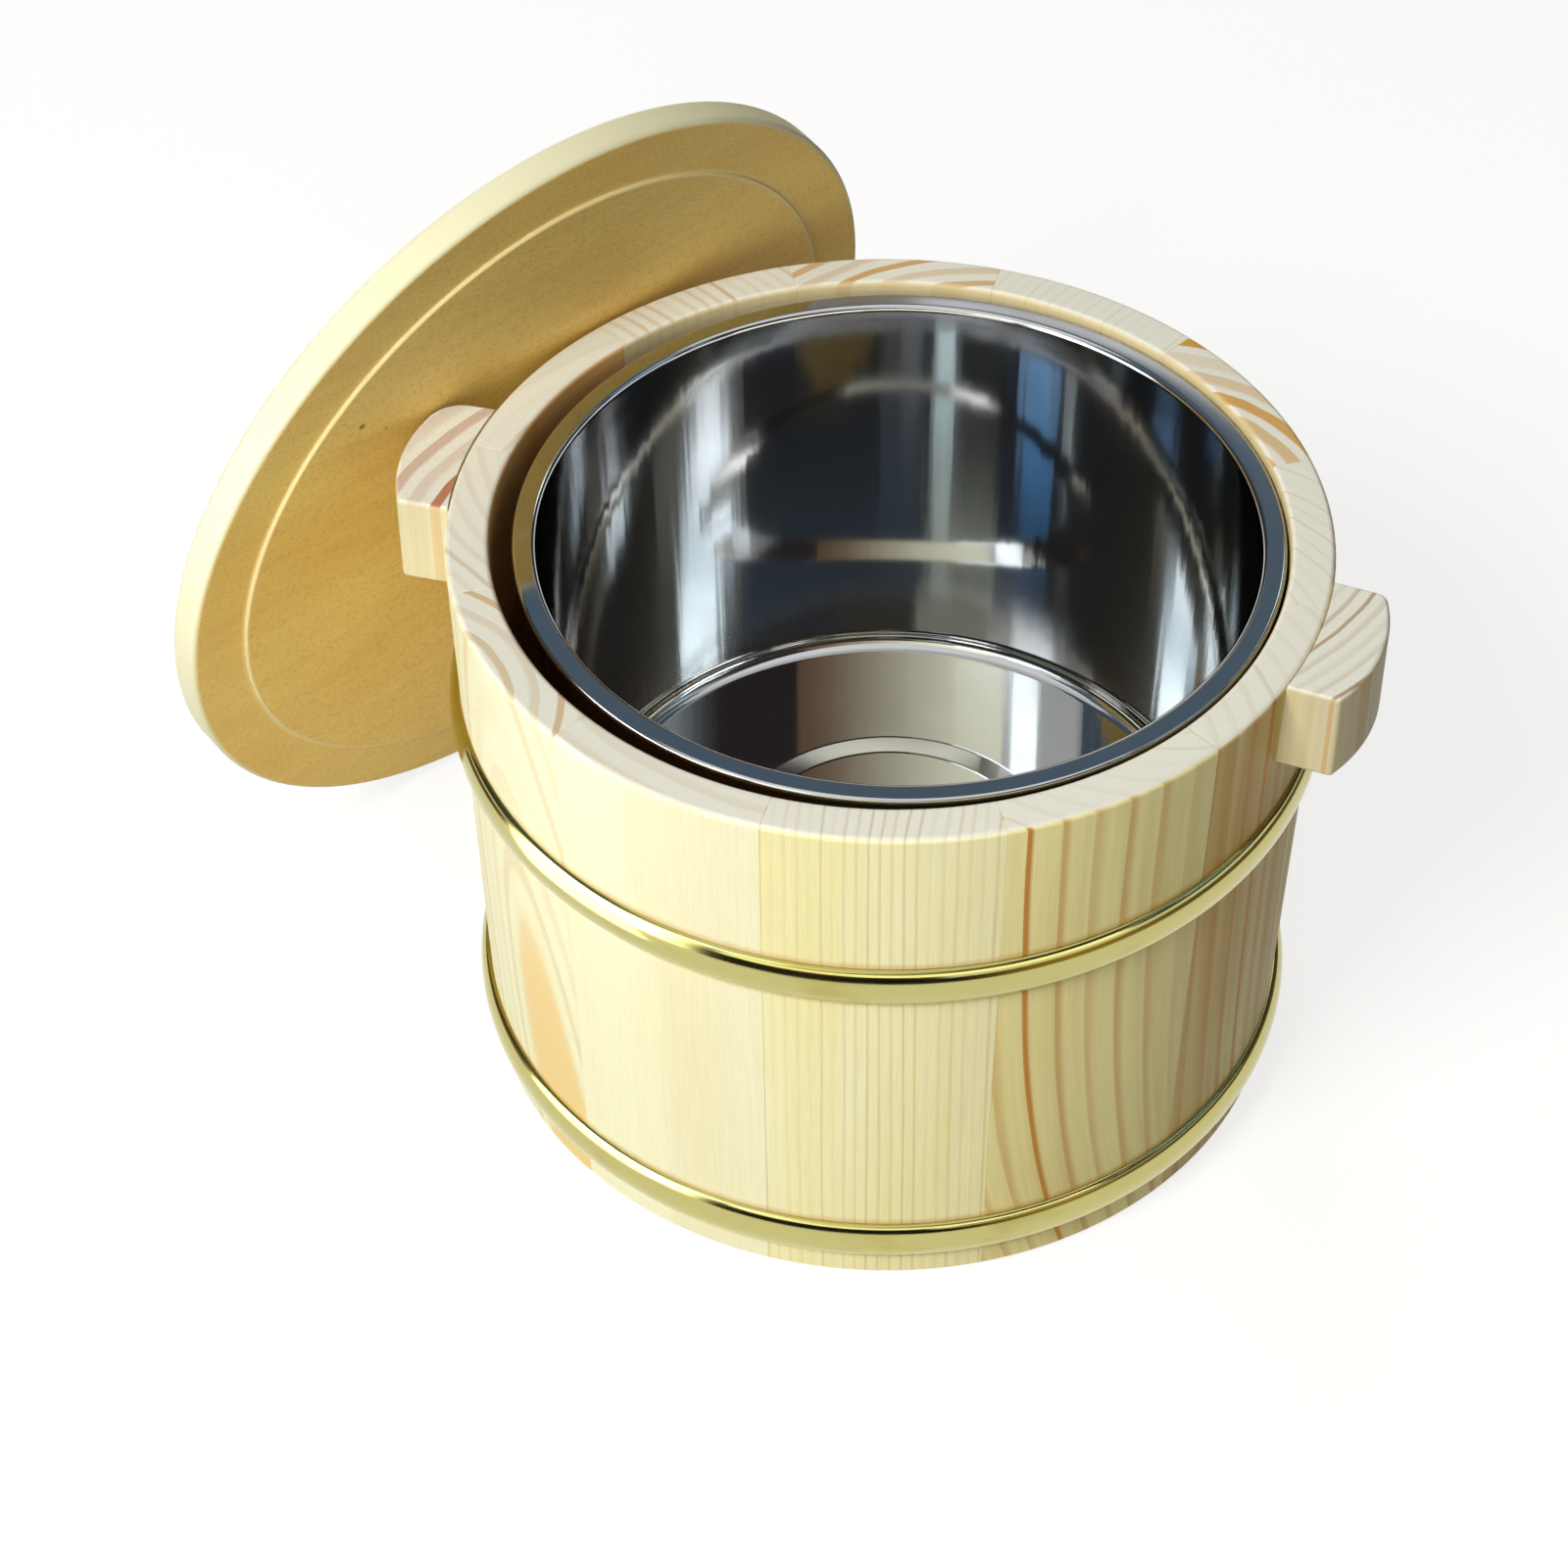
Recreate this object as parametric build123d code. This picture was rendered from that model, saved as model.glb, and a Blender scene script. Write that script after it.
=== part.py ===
from build123d import *
from math import atan2, cos, degrees, radians, sin
import os

# Coopered pine rice tub: staves in two brass hoops, two ears, a loose steel liner and a lift-off lid.
# Millimetres. +Z is up. The origin is on the floor, on the tub's axis, and the ears reach out along X.
# The lid is taken off: it stands on its edge behind the left ear and leans on it.

# Tub wall
tub_height = 132.0
rim_radius = 90.0  # outside, at the rim
foot_radius = 86.5  # outside, at the floor
wall = 9.0
stave_count = 12
rim_edge = 1.2  # rounding of the rim's two edges
foot_edge = 0.8  # chamfer of the foot's two edges

# Pegs between neighbouring staves and between bottom planks
peg_radius = 1.6
peg_length = 14.0
low_peg_height = 55.0
high_peg_height = 105.0
glue_gap = 0.05  # room round a peg or dowel, and past its ends

# Bottom: planks with a tongue all round, held in a groove in the staves
bottom_height = 23.0  # underside above the floor
bottom_thick = 12.0
tongue_thick = 8.0
groove_depth = 3.0
groove_play = 0.2  # left between the tongue's edge and the groove
bottom_play = 0.3  # left between the planks' upright edge and the wall
plank_count = 3
plank_peg_spacing = 76.0

# Hoops: half-oval bands, seated on the wall's taper
hoop_height = 9.6
hoop_crown = 2.4  # how far the band stands out at its middle
upper_hoop_height = 91.2  # middle of the band
lower_hoop_height = 11.8

# Ears: blocks with a hollow seat and a bowed outer end, both set a little forward of the tub's middle
ear_reach = 13.1  # past the rim
ear_width = 33.5
ear_height = 20.6
ear_bow = 4.0  # rise of the outer end's curve
ear_front_round = 1.2  # rounding of the front upright
right_ear_back_round = 3.0
left_ear_back_round = 8.0
ear_edge = 0.9
right_ear_turn = -4.9  # in degrees, about the tub's axis
left_ear_turn = 2.6
ear_dowel_radius = 2.5
ear_dowel_spacing = 24.0
ear_dowel_in_wall = 6.0
ear_dowel_in_ear = 8.0

# Liner: drawn sheet steel, pushed sideways until its flange nearly meets the wall
sheet = 0.7
flange_drop = 1.6  # flange top below the rim
flange_width = 5.1
flange_roll = 1.9  # height of the rolled edge
roll_flat = 0.1  # straight stretch between the roll's bends
liner_play = 2.35  # room between flange and wall, were the liner in the middle
liner_gap = 0.35  # what is left of that room on the side it is pushed to
liner_bearing = 35.0  # side it is pushed to, in degrees from +X
liner_taper = 3.5  # how much smaller in radius the wall is at the base
liner_corner = 4.0
liner_seat_gap = 0.3
flange_bend = 1.0
emboss_radius = 32.0
emboss_height = 1.0
emboss_slope = 6.0
emboss_bend = 5.0

# Lid: one board with a rebate, so that a shallow plug drops into the mouth
lid_overhang = 3.7  # past the rim, with the lid on
lid_edge_thick = 7.5
lid_edge_round = 1.4
plug_height = 0.9
plug_play = 0.6  # radial room in the mouth
plug_edge = 0.4

# How the lid leans
lean_angle = 11.4
lean_bearing = 148.4  # from the tub's axis to the lid, in degrees from +X
lean_sidestep = -12.5  # along the lid's own level line
lean_gap = 0.4

# Lid handle: a bar across the lid's top on two blind dowels
handle_length = 112.0
handle_width = 22.0
handle_height = 16.0
handle_waist = 3.0  # depth of the finger hollow in each side
handle_round = 3.0
handle_end_round = 9.0
handle_bearing = 32.0  # in the lid's plane, from its level line
handle_dowel_radius = 3.0
handle_dowel_spacing = 70.0
handle_dowel_in_lid = 5.0
handle_dowel_in_bar = 9.0

stave_angle = 360.0 / stave_count


def outside(z):
    """Outside radius of the wall at a height."""
    return foot_radius + (rim_radius - foot_radius) * z / tub_height


def inside(z):
    return outside(z) - wall


def turned(outline):
    """A full solid of revolution about Z from a face drawn with radius across and height up."""
    return revolve(Plane.XZ * outline, Axis.Z)


def rod(radius, length, extra=0.0):
    """A cylinder along X about the origin, larger all round by an extra."""
    return Rot(Y=90) * Cylinder(radius + extra, length + 2 * extra)


# Bottom and its groove
tongue_top = bottom_height + bottom_thick
tongue_base = tongue_top - tongue_thick
groove_radius = inside(tongue_base) + groove_depth
tongue_radius = groove_radius - groove_play
plank_width = 2 * tongue_radius / plank_count


def bottom_disc():
    body_radius = inside(bottom_height) - bottom_play
    body = Cylinder(body_radius, bottom_thick, align=(Align.CENTER, Align.CENTER, Align.MIN))
    tongue = Cylinder(tongue_radius, tongue_thick, align=(Align.CENTER, Align.CENTER, Align.MIN))
    return Pos(Z=bottom_height) * body + Pos(Z=tongue_base) * tongue


def plank_joints():
    """X of each joint between bottom planks."""
    return [(i - plank_count / 2) * plank_width for i in range(1, plank_count)]


def plank_pegs(extra=0.0):
    middle = (tongue_base + tongue_top) / 2
    spots = [(x, y) for x in plank_joints() for y in (-plank_peg_spacing / 2, plank_peg_spacing / 2)]
    return [Pos(x, y, middle) * rod(peg_radius, peg_length, extra) for x, y in spots]


def plank(i):
    strip = Box(plank_width, 2 * tongue_radius, 2 * tub_height)
    place = Pos(X=(i - (plank_count - 1) / 2) * plank_width)
    return (bottom_disc() & place * strip) - plank_pegs(glue_gap)


# Staves
def stave_outline():
    outline = make_face(
        Polyline(
            (outside(0), 0),
            (outside(tub_height), tub_height),
            (inside(tub_height), tub_height),
            (inside(tongue_top), tongue_top),
            (groove_radius, tongue_top),
            (groove_radius, tongue_base),
            (inside(tongue_base), tongue_base),
            (inside(0), 0),
            close=True,
        )
    )
    outline = fillet(outline.vertices().group_by(Axis.Y)[-1], rim_edge)
    return chamfer(outline.vertices().group_by(Axis.Y)[0], foot_edge)


def stave_pegs(joint, extra=0.0):
    """The pegs across one joint, low and high."""
    heights = (low_peg_height, high_peg_height)
    across = Rot(Z=90) * rod(peg_radius, peg_length, extra)
    return [Rot(Z=joint * stave_angle) * Pos(outside(z) - wall / 2, 0, z) * across for z in heights]


def hoop(middle):
    """A half-oval band, drawn about the middle of its seat and leaned onto the wall."""
    half = hoop_height / 2
    band = make_face(
        [
            EllipticalCenterArc((0, 0), hoop_crown, half, -90, arc_size=180),
            Line((0, half), (0, -half)),
        ]
    )
    lean = degrees(atan2(rim_radius - foot_radius, tub_height))
    return turned(Pos(outside(middle), middle) * Rot(Z=-lean) * band)


# Ears, made on the +X side with their front towards -Y
ear_tip = rim_radius + ear_reach
ear_shoulder = ear_tip - ear_bow
ear_middle = tub_height - ear_height / 2


def on_right(piece):
    return Rot(Z=right_ear_turn) * piece


def on_left(piece):
    return Rot(Z=left_ear_turn) * mirror(piece, about=Plane.YZ)


def ear_block(back_round):
    half = ear_width / 2
    plan = make_face(
        [
            Polyline((ear_shoulder, half), (0, half), (0, -half), (ear_shoulder, -half)),
            ThreePointArc((ear_shoulder, -half), (ear_tip, 0), (ear_shoulder, half)),
        ]
    )
    for side, rounding in ((-half, ear_front_round), (half, back_round)):
        upright = plan.vertices().sort_by_distance((ear_shoulder, side))[0]
        plan = fillet(upright, rounding)
    block = Pos(Z=tub_height) * extrude(plan, -ear_height)
    edges = block.edges().group_by(Axis.Z)
    block = fillet(edges[0] + edges[-1], ear_edge)
    tub = Cone(foot_radius, rim_radius, tub_height, align=(Align.CENTER, Align.CENTER, Align.MIN))
    return block - tub


def plain_ear_dowels(extra=0.0):
    """The two dowels of an ear on the +X side, along the ear."""
    across = ear_dowel_spacing / 2
    face = (outside(ear_middle) ** 2 - across**2) ** 0.5
    middle = face + (ear_dowel_in_ear - ear_dowel_in_wall) / 2
    dowel = rod(ear_dowel_radius, ear_dowel_in_wall + ear_dowel_in_ear, extra)
    return [Pos(middle, y, ear_middle) * dowel for y in (-across, across)]


def ear_dowels(extra=0.0):
    plain = plain_ear_dowels(extra)
    return [on_right(dowel) for dowel in plain] + [on_left(dowel) for dowel in plain]


def left_ear_back():
    """Centre of the rounding of the left ear's back upright, seen from above."""
    half = ear_width / 2
    bow_radius = (half**2 + ear_bow**2) / (2 * ear_bow)
    across = half - left_ear_back_round
    along = ear_tip - bow_radius + ((bow_radius - left_ear_back_round) ** 2 - across**2) ** 0.5
    return Vector(-along, across, 0).rotate(Axis.Z, left_ear_turn)


# Liner
flange_top = tub_height - flange_drop
flange_radius = inside(flange_top - flange_roll) - liner_play
liner_mouth_radius = flange_radius - flange_width
liner_base_radius = liner_mouth_radius - liner_taper
liner_base = tongue_top + liner_seat_gap
liner_shift = liner_play - liner_gap


def liner_path():
    """The middle of the sheet, from the centre of the base to the curled-in edge of the flange."""
    half = sheet / 2
    low = liner_base + half
    top = flange_top - half
    edge = flange_radius - half
    roll = flange_roll / 2 - half
    points = [
        (0, low + emboss_height),
        (emboss_radius, low + emboss_height),
        (emboss_radius + emboss_slope, low),
        (liner_base_radius + half, low),
        (liner_mouth_radius + half, top),
        (edge, top),
        (edge, top - 2 * roll),
        (edge - 2 * roll, top - 2 * roll),
    ]
    roll_bend = roll - roll_flat / 2
    bends = [emboss_bend, emboss_bend, liner_corner + half, flange_bend, roll_bend, roll_bend]
    return FilletPolyline(*points, radius=bends)


def liner():
    place = Rot(Z=liner_bearing) * Pos(X=liner_shift) * Rot(Z=-liner_bearing)
    return place * turned(trace(liner_path(), sheet))


# Lid, drawn with its underside up: Z 0 is the rebate's face, the plug stands above it
lid_radius = rim_radius + lid_overhang
plug_radius = inside(tub_height) - plug_play


def lid_place():
    """Where the lid's own frame lies: X level along the lid, Y up the lid, Z out of its underside."""
    lean = radians(lean_angle)
    toward_tub = Vector(-cos(radians(lean_bearing)), -sin(radians(lean_bearing)), 0)
    level = Vector(-toward_tub.Y, toward_tub.X, 0)
    out = toward_tub * cos(lean) - Vector(0, 0, 1) * sin(lean)
    # the edge's rounding stands on the floor
    height = (lid_radius - lid_edge_round) * cos(lean) - lid_edge_round * sin(lean) + lid_edge_round
    # the plug's face stays clear of the rim, and of the left ear's back upright
    nearest = min(-rim_radius, left_ear_back().dot(toward_tub) - left_ear_back_round)
    rise = tub_height - height
    distance = nearest - (plug_height + lean_gap + rise * sin(lean)) / cos(lean)
    centre = toward_tub * distance + level * lean_sidestep + Vector(0, 0, height)
    return Plane(origin=centre, x_dir=level, z_dir=out).location


def handle_dowels(extra=0.0):
    """The dowels between bar and lid, larger all round by an extra."""
    length = handle_dowel_in_lid + handle_dowel_in_bar
    middle = -lid_edge_thick + (handle_dowel_in_lid - handle_dowel_in_bar) / 2
    dowel = Cylinder(handle_dowel_radius + extra, length + 2 * extra)
    spots = (-handle_dowel_spacing / 2, handle_dowel_spacing / 2)
    return [Rot(Z=handle_bearing) * Pos(x, 0, middle) * dowel for x in spots]


def lid_board():
    board = make_face(
        Polyline(
            (0, -lid_edge_thick),
            (lid_radius, -lid_edge_thick),
            (lid_radius, 0),
            (plug_radius, 0),
            (plug_radius, plug_height),
            (0, plug_height),
            close=True,
        )
    )
    board = fillet(board.vertices().group_by(Axis.X)[-1], lid_edge_round)
    plug_corner = board.vertices().group_by(Axis.Y)[-1].sort_by(Axis.X)[-1]
    board = fillet(plug_corner, plug_edge)
    return turned(board) - handle_dowels(glue_gap)


def handle():
    """A bar with a finger hollow along each side, flat on the lid's top."""
    half = handle_width / 2
    waist = half - handle_waist
    section = make_face(
        [
            Line((-half, 0), (half, 0)),
            ThreePointArc((half, 0), (waist, -handle_height / 2), (half, -handle_height)),
            Line((half, -handle_height), (-half, -handle_height)),
            ThreePointArc((-half, -handle_height), (-waist, -handle_height / 2), (-half, 0)),
        ]
    )
    section = fillet(section.vertices().group_by(Axis.Y)[0], handle_round)
    bar = extrude(Plane.YZ * section, handle_length / 2, both=True)
    plan = RectangleRounded(handle_length, handle_width, handle_end_round)
    bar = bar & extrude(plan, -handle_height)
    return Pos(Z=-lid_edge_thick) * Rot(Z=handle_bearing) * bar - handle_dowels(glue_gap)


def save(name, solids):
    piece = solids[0] if len(solids) == 1 else Compound(children=solids)
    export_step(piece, f"parts/{name}.step")


os.makedirs("parts", exist_ok=True)

plain_stave = revolve(Plane.XZ * stave_outline(), Axis.Z, stave_angle)
plain_stave -= stave_pegs(0, glue_gap) + stave_pegs(1, glue_gap)
for i in range(stave_count):
    save(f"stave_{i + 1:02}", [Rot(Z=i * stave_angle) * plain_stave - ear_dowels(glue_gap)])
save("stave_pegs", [peg for i in range(stave_count) for peg in stave_pegs(i)])

for i in range(plank_count):
    save(f"bottom_plank_{i + 1}", [plank(i)])
save("bottom_pegs", plank_pegs())

save("upper_hoop", [hoop(upper_hoop_height)])
save("lower_hoop", [hoop(lower_hoop_height)])

dowel_holes = plain_ear_dowels(glue_gap)
save("right_ear", [on_right(ear_block(right_ear_back_round) - dowel_holes)])
save("left_ear", [on_left(ear_block(left_ear_back_round) - dowel_holes)])
save("ear_dowels", ear_dowels())

save("liner", [liner()])

place = lid_place()
save("lid_board", [place * lid_board()])
save("lid_handle", [place * handle()])
save("handle_dowels", [place * dowel for dowel in handle_dowels()])
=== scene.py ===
from collections import namedtuple
from math import atan2, cos, pi, radians, sin, tan

import bpy
from mathutils import Euler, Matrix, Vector


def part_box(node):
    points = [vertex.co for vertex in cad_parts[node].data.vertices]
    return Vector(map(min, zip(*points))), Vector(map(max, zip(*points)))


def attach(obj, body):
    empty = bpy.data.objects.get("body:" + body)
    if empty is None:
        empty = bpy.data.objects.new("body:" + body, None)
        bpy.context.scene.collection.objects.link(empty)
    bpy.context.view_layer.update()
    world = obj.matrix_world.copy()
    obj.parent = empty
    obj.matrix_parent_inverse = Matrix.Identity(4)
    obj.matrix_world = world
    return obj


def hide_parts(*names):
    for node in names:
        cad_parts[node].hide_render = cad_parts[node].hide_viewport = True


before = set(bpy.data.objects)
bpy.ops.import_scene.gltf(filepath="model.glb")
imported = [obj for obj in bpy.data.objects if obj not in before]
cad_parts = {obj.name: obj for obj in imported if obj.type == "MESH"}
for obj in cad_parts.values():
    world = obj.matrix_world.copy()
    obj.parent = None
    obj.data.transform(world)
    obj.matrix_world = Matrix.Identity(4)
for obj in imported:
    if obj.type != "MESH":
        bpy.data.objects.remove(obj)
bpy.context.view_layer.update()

# Coopered pine rice tub with two hoops, two ears, a loose steel liner and a lid that leans on the left ear.
# Metres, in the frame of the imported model. Sizes are written in millimetres and turned into metres here.
MM = 0.001

# Tub wall
TUB_HEIGHT = 132 * MM
RIM_RADIUS = 90 * MM
FOOT_RADIUS = 86.5 * MM
WALL = 9 * MM
STAVES = 12
RIM_EDGE = 1.2 * MM
FOOT_EDGE = 0.8 * MM
GROOVE_LOW = 27 * MM
GROOVE_HIGH = 35 * MM
GROOVE_DEPTH = 3 * MM
JOINT_EASE = 0.14 * MM
STAVE_STEPS = 16
STAVE_TURN = 2 * pi / STAVES

# Hoops
HOOP_HALF = 4.8 * MM
HOOP_CROWN = 2.4 * MM
UPPER_HOOP = 91.2 * MM
LOWER_HOOP = 11.8 * MM
HOOP_STEPS = 240
OVAL_POINTS = 56

# Liner, along the middle of its sheet
SHEET = 0.7 * MM
LINER_STEPS = 192
FLANGE_DROP = 1.6 * MM
FLANGE_WIDTH = 5.1 * MM
FLANGE_ROLL = 1.9 * MM
LINER_PLAY = 2.35 * MM
LINER_GAP = 0.35 * MM
LINER_BEARING = radians(35)
LINER_TAPER = 3.5 * MM
LINER_CORNER = 4 * MM
LINER_FLOOR = 35.3 * MM
FLANGE_BEND = 1.0 * MM
EMBOSS_RADIUS = 32 * MM
EMBOSS_HEIGHT = 1 * MM
EMBOSS_SLOPE = 6 * MM
EMBOSS_BEND = 5 * MM
ROLL_BEND = 0.55 * MM

# Lid, as it leans
LID_LEAN = radians(11.4)
LID_BEARING = radians(148.4)
LID_THICK = 7.5 * MM
LID_RADIUS = 93.7 * MM
PLUG_RADIUS = 80.4 * MM

# Camera
EYE = Vector((157.78, -588.85, 654.49)) * MM
AIM = Vector((-20.336, -7.276, 60.0)) * MM
EYE_ROLL = radians(-0.267)
EYE_LENS = 90.918


def outside(z):
    """Outside radius of the tub's wall at a height."""
    return FOOT_RADIUS + (RIM_RADIUS - FOOT_RADIUS) * z / TUB_HEIGHT


def inside(z):
    return outside(z) - WALL


def srgb(red, green, blue):
    """A colour as a screen shows it, 0 to 255, as the shaders take it."""
    def straight(level):
        level /= 255
        return level / 12.92 if level <= 0.04045 else ((level + 0.055) / 1.055) ** 2.4
    return (straight(red), straight(green), straight(blue), 1.0)


# Modelling by hand

SAME_PLACE = 0.001 * MM


def deselect():
    bpy.ops.object.select_all(action="DESELECT")


def single_point(name, place):
    """A new piece that is one vertex at a place, left in edit mode."""
    deselect()
    bpy.ops.mesh.primitive_plane_add(size=MM)
    piece = bpy.context.active_object
    piece.name = piece.data.name = name
    bpy.ops.object.mode_set(mode="EDIT")
    bpy.ops.mesh.select_mode(type="VERT")
    bpy.ops.mesh.select_all(action="SELECT")
    bpy.ops.mesh.merge(type="CENTER")
    bpy.ops.transform.translate(value=place)
    return piece


def pick(piece, part, test):
    """Selects, in edit mode, the vertices or faces that pass a test, and nothing else."""
    bpy.ops.mesh.select_mode(type={"vertices": "VERT", "polygons": "FACE"}[part])
    bpy.ops.mesh.select_all(action="DESELECT")
    bpy.ops.object.mode_set(mode="OBJECT")
    for item in getattr(piece.data, part):
        item.select = test(item)
    bpy.ops.object.mode_set(mode="EDIT")


def drawn_chain(name, corners, bends, closed=False):
    """A chain of edges through corners of (radius, height), each corner rounded by its own bend.

    One point is extruded from corner to corner, and then the corners are bevelled, the last one first."""
    points = [Vector((radius, 0, height)) for radius, height in corners]
    piece = single_point(name, points[0])
    for here, there in zip(points, points[1:] + points[:1] * closed):
        bpy.ops.mesh.extrude_region_move(TRANSFORM_OT_translate={"value": there - here})
    bpy.ops.mesh.select_all(action="SELECT")
    bpy.ops.mesh.remove_doubles(threshold=SAME_PLACE)
    for at, (radius, segments) in bends.items():
        before, here, after = points[at - 1], points[at], points[(at + 1) % len(points)]
        turn = (here - before).angle(after - here)
        pick(piece, "vertices", lambda point: (point.co - here).length < SAME_PLACE)
        bpy.ops.mesh.bevel(offset=radius * tan(turn / 2), segments=segments, affect="VERTICES", profile=0.5)
    return piece


def spun(piece, steps, angle):
    """Spins all of a piece's edges about Z and closes the seam or leaves the two ends open.

    The operator turns clockwise seen from above."""
    bpy.ops.mesh.select_all(action="SELECT")
    bpy.ops.mesh.spin(steps=steps, angle=-angle, center=(0, 0, 0), axis=(0, 0, 1))
    bpy.ops.mesh.select_all(action="SELECT")
    bpy.ops.mesh.remove_doubles(threshold=2 * SAME_PLACE)


def outward():
    bpy.ops.mesh.select_all(action="SELECT")
    bpy.ops.mesh.normals_make_consistent(inside=False)


def finished(piece, crease):
    """Leaves edit mode with smooth faces, split where they meet at more than an angle."""
    bpy.ops.object.mode_set(mode="OBJECT")
    bpy.ops.object.shade_smooth_by_angle(angle=radians(crease))
    return piece


def applied(piece, kind, **settings):
    bpy.context.view_layer.objects.active = piece
    modifier = piece.modifiers.new(kind.title(), kind)
    for key, value in settings.items():
        setattr(modifier, key, value)
    bpy.ops.object.modifier_apply(modifier=modifier.name)


def copied(piece, name, turn):
    """A copy of a piece with its own mesh, turned about the tub's axis."""
    deselect()
    piece.select_set(True)
    bpy.context.view_layer.objects.active = piece
    bpy.ops.object.duplicate()
    copy = bpy.context.active_object
    copy.name = copy.data.name = name
    copy.rotation_euler.z = turn
    bpy.ops.object.transform_apply(location=True, rotation=True, scale=True)
    return copy


def stave():
    """The first stave, from azimuth 0: the wall's section with its groove, spun through one stave's angle."""
    groove = inside(GROOVE_LOW) + GROOVE_DEPTH
    corners = [
        (inside(0), 0),
        (outside(0), 0),
        (outside(TUB_HEIGHT), TUB_HEIGHT),
        (inside(TUB_HEIGHT), TUB_HEIGHT),
        (inside(GROOVE_HIGH), GROOVE_HIGH),
        (groove, GROOVE_HIGH),
        (groove, GROOVE_LOW),
        (inside(GROOVE_LOW), GROOVE_LOW),
    ]
    bends = {0: (FOOT_EDGE, 1), 1: (FOOT_EDGE, 1), 2: (RIM_EDGE, 5), 3: (RIM_EDGE, 5)}
    piece = drawn_chain("stave_first", corners, bends, closed=True)
    spun(piece, STAVE_STEPS, STAVE_TURN)
    bpy.ops.mesh.fill_holes(sides=0)
    outward()
    pick(piece, "polygons", lambda face: len(face.vertices) > 4)
    bpy.ops.mesh.region_to_loop()
    bpy.ops.mesh.bevel(offset=JOINT_EASE, segments=2, affect="EDGES", profile=0.5)
    finished(piece, 24)
    applied(piece, "WEIGHTED_NORMAL", weight=100, keep_sharp=True)
    return piece


def hoop(name, middle):
    """A half-oval band: half of a round, drawn out to an oval, leaned by the wall's taper and spun."""
    lean = atan2(RIM_RADIUS - FOOT_RADIUS, TUB_HEIGHT)
    deselect()
    bpy.ops.mesh.primitive_circle_add(vertices=OVAL_POINTS, radius=1, fill_type="NGON", rotation=(pi / 2, 0, 0))
    piece = bpy.context.active_object
    piece.name = piece.data.name = name
    bpy.ops.object.transform_apply(location=True, rotation=True, scale=True)
    bpy.ops.object.mode_set(mode="EDIT")
    bpy.ops.mesh.select_mode(type="VERT")
    bpy.ops.mesh.select_all(action="SELECT")
    bpy.ops.transform.resize(value=(HOOP_CROWN, 1, HOOP_HALF))
    bpy.ops.mesh.bisect(plane_co=(0, 0, 0), plane_no=(1, 0, 0), clear_inner=True)
    bpy.ops.mesh.select_all(action="SELECT")
    bpy.ops.mesh.delete(type="ONLY_FACE")
    bpy.ops.mesh.select_all(action="SELECT")
    bpy.ops.transform.rotate(value=-lean, orient_axis="Y", center_override=(0, 0, 0))
    bpy.ops.transform.translate(value=(outside(middle), 0, middle))
    spun(piece, HOOP_STEPS, 2 * pi)
    outward()
    return finished(piece, 40)


def liner():
    """The pot: the middle of its sheet drawn from the base's centre to the curled edge, spun and thickened."""
    half = SHEET / 2
    low = LINER_FLOOR + half
    top = TUB_HEIGHT - FLANGE_DROP - half
    flange = inside(TUB_HEIGHT - FLANGE_DROP - FLANGE_ROLL) - LINER_PLAY
    edge = flange - half
    mouth = flange - FLANGE_WIDTH + half
    roll = FLANGE_ROLL - SHEET
    corners = [
        (0, low + EMBOSS_HEIGHT),
        (EMBOSS_RADIUS, low + EMBOSS_HEIGHT),
        (EMBOSS_RADIUS + EMBOSS_SLOPE, low),
        (mouth - LINER_TAPER, low),
        (mouth, top),
        (edge, top),
        (edge, top - roll),
        (edge - roll, top - roll),
    ]
    bends = {
        6: (ROLL_BEND, 8),
        5: (ROLL_BEND, 8),
        4: (FLANGE_BEND, 8),
        3: (LINER_CORNER + half, 12),
        2: (EMBOSS_BEND, 4),
        1: (EMBOSS_BEND, 4),
    }
    piece = drawn_chain("steel_liner", corners, bends)
    spun(piece, LINER_STEPS, 2 * pi)
    outward()
    shift = LINER_PLAY - LINER_GAP
    bpy.ops.transform.translate(value=(shift * cos(LINER_BEARING), shift * sin(LINER_BEARING), 0))
    finished(piece, 40)
    applied(piece, "SOLIDIFY", thickness=SHEET, offset=0, use_even_offset=True)
    bpy.ops.object.shade_smooth_by_angle(angle=radians(40))
    applied(piece, "WEIGHTED_NORMAL", weight=100, keep_sharp=True)
    return piece


# Finishes

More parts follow.
